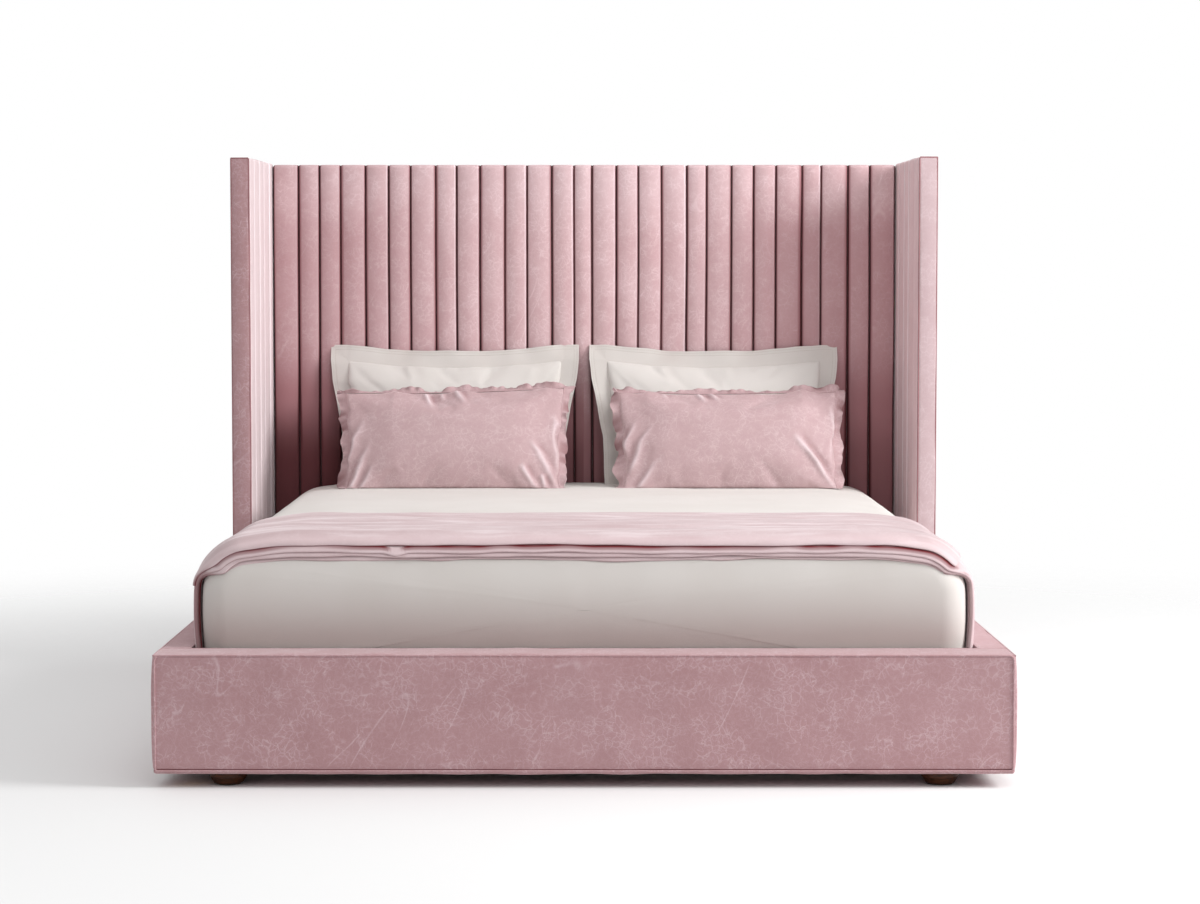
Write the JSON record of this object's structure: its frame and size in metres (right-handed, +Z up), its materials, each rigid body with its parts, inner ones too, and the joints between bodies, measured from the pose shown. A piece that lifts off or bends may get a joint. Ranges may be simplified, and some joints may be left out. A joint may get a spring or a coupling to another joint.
{
  "type": "upholstered bed",
  "caption": "Upholstered double bed with a tall channelled winged headboard, low padded rails and footboard, slatted base, mattress, folded throw and leaning pillows.",
  "frame": {"origin": "on the floor, in the middle of the bed's length and width", "axes": "+X to the right seen from the foot, +Y from the foot to the headboard, +Z up"},
  "size_m": [2.073, 2.26, 1.525],
  "materials": {
    "velvet": "matte",
    "cotton": "matte",
    "satin": "satin",
    "blanket": "matte",
    "foam": "matte",
    "spring_pocket": "matte",
    "timber": "matte",
    "birch": "satin",
    "foot_wood": "satin",
    "bracket_steel": "satin",
    "bolt_steel": "satin",
    "black_plastic": "matte",
    "felt": "matte"
  },
  "bodies": {
    "bed_frame": {"footboard_carcass": "timber", "footboard_cover": "velvet", "side_rail_board_left": "timber", "side_rail_board_right": "timber", "side_rail_cover_left": "velvet", "side_rail_cover_right": "velvet", "headboard_frame": "timber", "headboard_front_board": "timber", "headboard_channel_pad": "velvet", "headboard_lower_pad": "velvet", "headboard_back_cover": "velvet", "wing_board_left": "timber", "wing_board_right": "timber", "wing_cover_left": "velvet", "wing_cover_right": "velvet", "wing_channel_pad_left": "velvet", "wing_channel_pad_right": "velvet", "corner_bracket_foot_left": "bracket_steel", "corner_bracket_foot_right": "bracket_steel", "corner_bracket_head_left": "bracket_steel", "corner_bracket_head_right": "bracket_steel", "corner_bolts": "bolt_steel", "ledger_screws": "bolt_steel", "wing_bolts": "bolt_steel", "centre_beam": "bracket_steel", "beam_saddle_foot": "bracket_steel", "beam_saddle_head": "bracket_steel", "saddle_screws": "bolt_steel", "centre_legs": "bracket_steel", "centre_leg_glides": "black_plastic", "ledger_left": "timber", "ledger_right": "timber", "slats_left": "birch", "slats_right": "birch", "slat_holders_left": "black_plastic", "slat_holders_right": "black_plastic", "slat_holders_centre": "black_plastic", "foot_front_left": "foot_wood", "foot_front_right": "foot_wood", "foot_rear_left": "foot_wood", "foot_rear_right": "foot_wood", "foot_studs": "bolt_steel", "foot_glides": "felt"},
    "mattress": {"mattress_spring_unit": "spring_pocket", "mattress_foam_surround": "foam", "mattress_comfort_layer": "foam", "fitted_sheet": "cotton"},
    "folded_throw": {"throw": "blanket"},
    "back_pillow_left": {"pillow_back_left": "cotton"},
    "back_pillow_right": {"pillow_back_right": "cotton"},
    "front_pillow_left": {"pillow_front_left": "satin"},
    "front_pillow_right": {"pillow_front_right": "satin"}
  },
  "joints": [
    {"name": "mattress_lift", "type": "slide", "parent": "bed_frame", "child": "mattress", "axis": [0, 0, 1], "range_m": [0, 0.35]},
    {"name": "throw_lift", "type": "slide", "parent": "mattress", "child": "folded_throw", "axis": [0, 0, 1], "range_m": [0, 0.45]},
    {"name": "back_pillow_left_lift", "type": "slide", "parent": "mattress", "child": "back_pillow_left", "axis": [0, 0, 1], "range_m": [0, 0.4]},
    {"name": "back_pillow_right_lift", "type": "slide", "parent": "mattress", "child": "back_pillow_right", "axis": [0, 0, 1], "range_m": [0, 0.4]},
    {"name": "front_pillow_left_lift", "type": "slide", "parent": "back_pillow_left", "child": "front_pillow_left", "axis": [0, -0.6, 0.8], "range_m": [0, 0.3]},
    {"name": "front_pillow_right_lift", "type": "slide", "parent": "back_pillow_right", "child": "front_pillow_right", "axis": [0, -0.6, 0.8], "range_m": [0, 0.3]}
  ]
}
